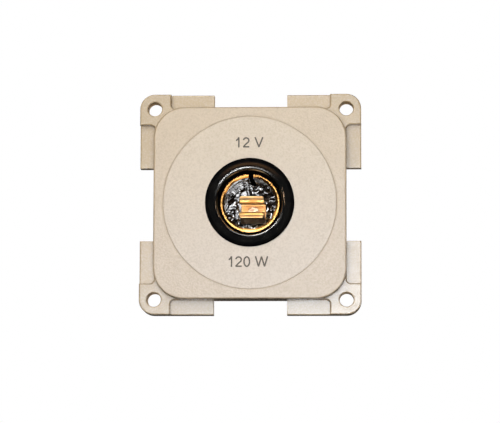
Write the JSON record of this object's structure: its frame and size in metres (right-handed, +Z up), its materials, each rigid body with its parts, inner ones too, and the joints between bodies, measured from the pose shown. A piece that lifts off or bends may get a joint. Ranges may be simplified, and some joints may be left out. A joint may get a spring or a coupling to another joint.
{
  "type": "car 12v power socket",
  "caption": "12 volt plug socket insert on a square moulded plate with corner screw ears, edge notches for an outer frame, a split sleeve contact and blade terminals behind.",
  "frame": {"origin": "middle of the four screw holes, in the plane of the flange's back", "axes": "-Y out of the plug's mouth towards the user, +X to the user's right, +Z up"},
  "size_m": [0.052, 0.0352, 0.052],
  "materials": {
    "plate_ivory": "fine satin moulding, warm beige",
    "disc_ivory": "fine satin moulding, slightly paler beige",
    "body_black": "polished black moulding",
    "nut_black": "satin black moulding",
    "washer_steel": "zinc-plated spring steel",
    "sleeve_nickel": "nickel-plated brass strip with bare brass cut edges",
    "fork_copper": "bright bronze spring strip",
    "base_resin": "dark brown moulded resin",
    "rivet_copper": "peened copper",
    "rivet_brass": "peened brass",
    "terminal_brass": "stamped brass strip",
    "legend_ink": "dark pad-printed ink"
  },
  "bodies": {
    "root": {"face_plate": "plate_ivory", "legend_disc": "disc_ivory", "socket_body": "body_black", "lock_washer": "washer_steel", "retaining_nut": "nut_black", "sleeve_contact": "sleeve_nickel", "centre_fork": "fork_copper", "insulating_base": "base_resin", "centre_rivet": "rivet_copper", "sleeve_rivet": "rivet_brass", "upper_terminal": "terminal_brass", "lower_terminal": "terminal_brass"}
  },
  "joints": []
}
